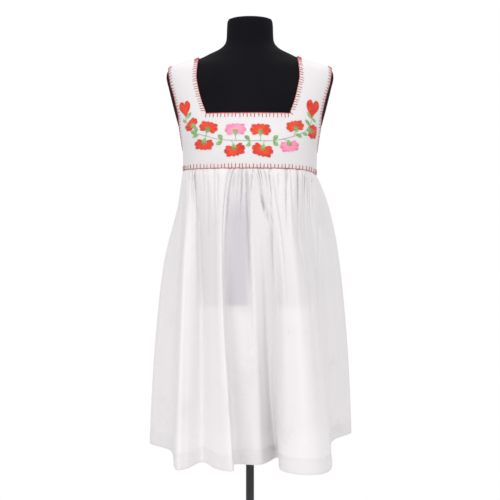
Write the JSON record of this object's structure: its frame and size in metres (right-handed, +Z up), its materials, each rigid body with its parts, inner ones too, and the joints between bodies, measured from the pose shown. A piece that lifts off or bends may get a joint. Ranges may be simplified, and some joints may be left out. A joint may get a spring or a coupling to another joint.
{
  "type": "embroidered dress on dress form stand",
  "caption": "Sleeveless smock dress with a square embroidered yoke and a gathered skirt, worn on a limbless dress form with a pole and round base.",
  "frame": {"origin": "centre of the round base's underside, on the floor", "axes": "+Z up along the pole, -Y towards the dress's front, +X towards the right of the front view"},
  "size_m": [0.4854, 0.4786, 1.486],
  "materials": {
    "cloth": "off-white plain-weave cotton and linen cloth, thin and slightly sheer",
    "jersey": "black cotton jersey, matt",
    "stand_steel": "black satin powder coat",
    "red_thread": "red stranded embroidery cotton, soft sheen",
    "pink_thread": "pink stranded embroidery cotton, soft sheen",
    "green_thread": "leaf green stranded embroidery cotton, soft sheen"
  },
  "bodies": {
    "root": {"yoke_front": "cloth", "yoke_back": "cloth", "skirt_front": "cloth", "skirt_back": "cloth", "form": "jersey", "form_socket": "stand_steel", "pole": "stand_steel", "base": "stand_steel", "blossom_upper_1": "red_thread", "blossom_upper_2": "red_thread", "blossom_upper_4": "red_thread", "blossom_upper_5": "red_thread", "blossom_lower_1": "red_thread", "blossom_lower_2": "red_thread", "blossom_lower_3": "red_thread", "blossom_lower_5": "red_thread", "heart_left": "red_thread", "heart_right": "red_thread", "blossom_upper_3": "pink_thread", "blossom_lower_4": "pink_thread", "leaf_left_1": "green_thread", "leaf_left_2": "green_thread", "leaf_middle_1": "green_thread", "leaf_middle_2": "green_thread", "leaf_right_1": "green_thread", "leaf_right_2": "green_thread", "vine": "green_thread"}
  },
  "joints": []
}
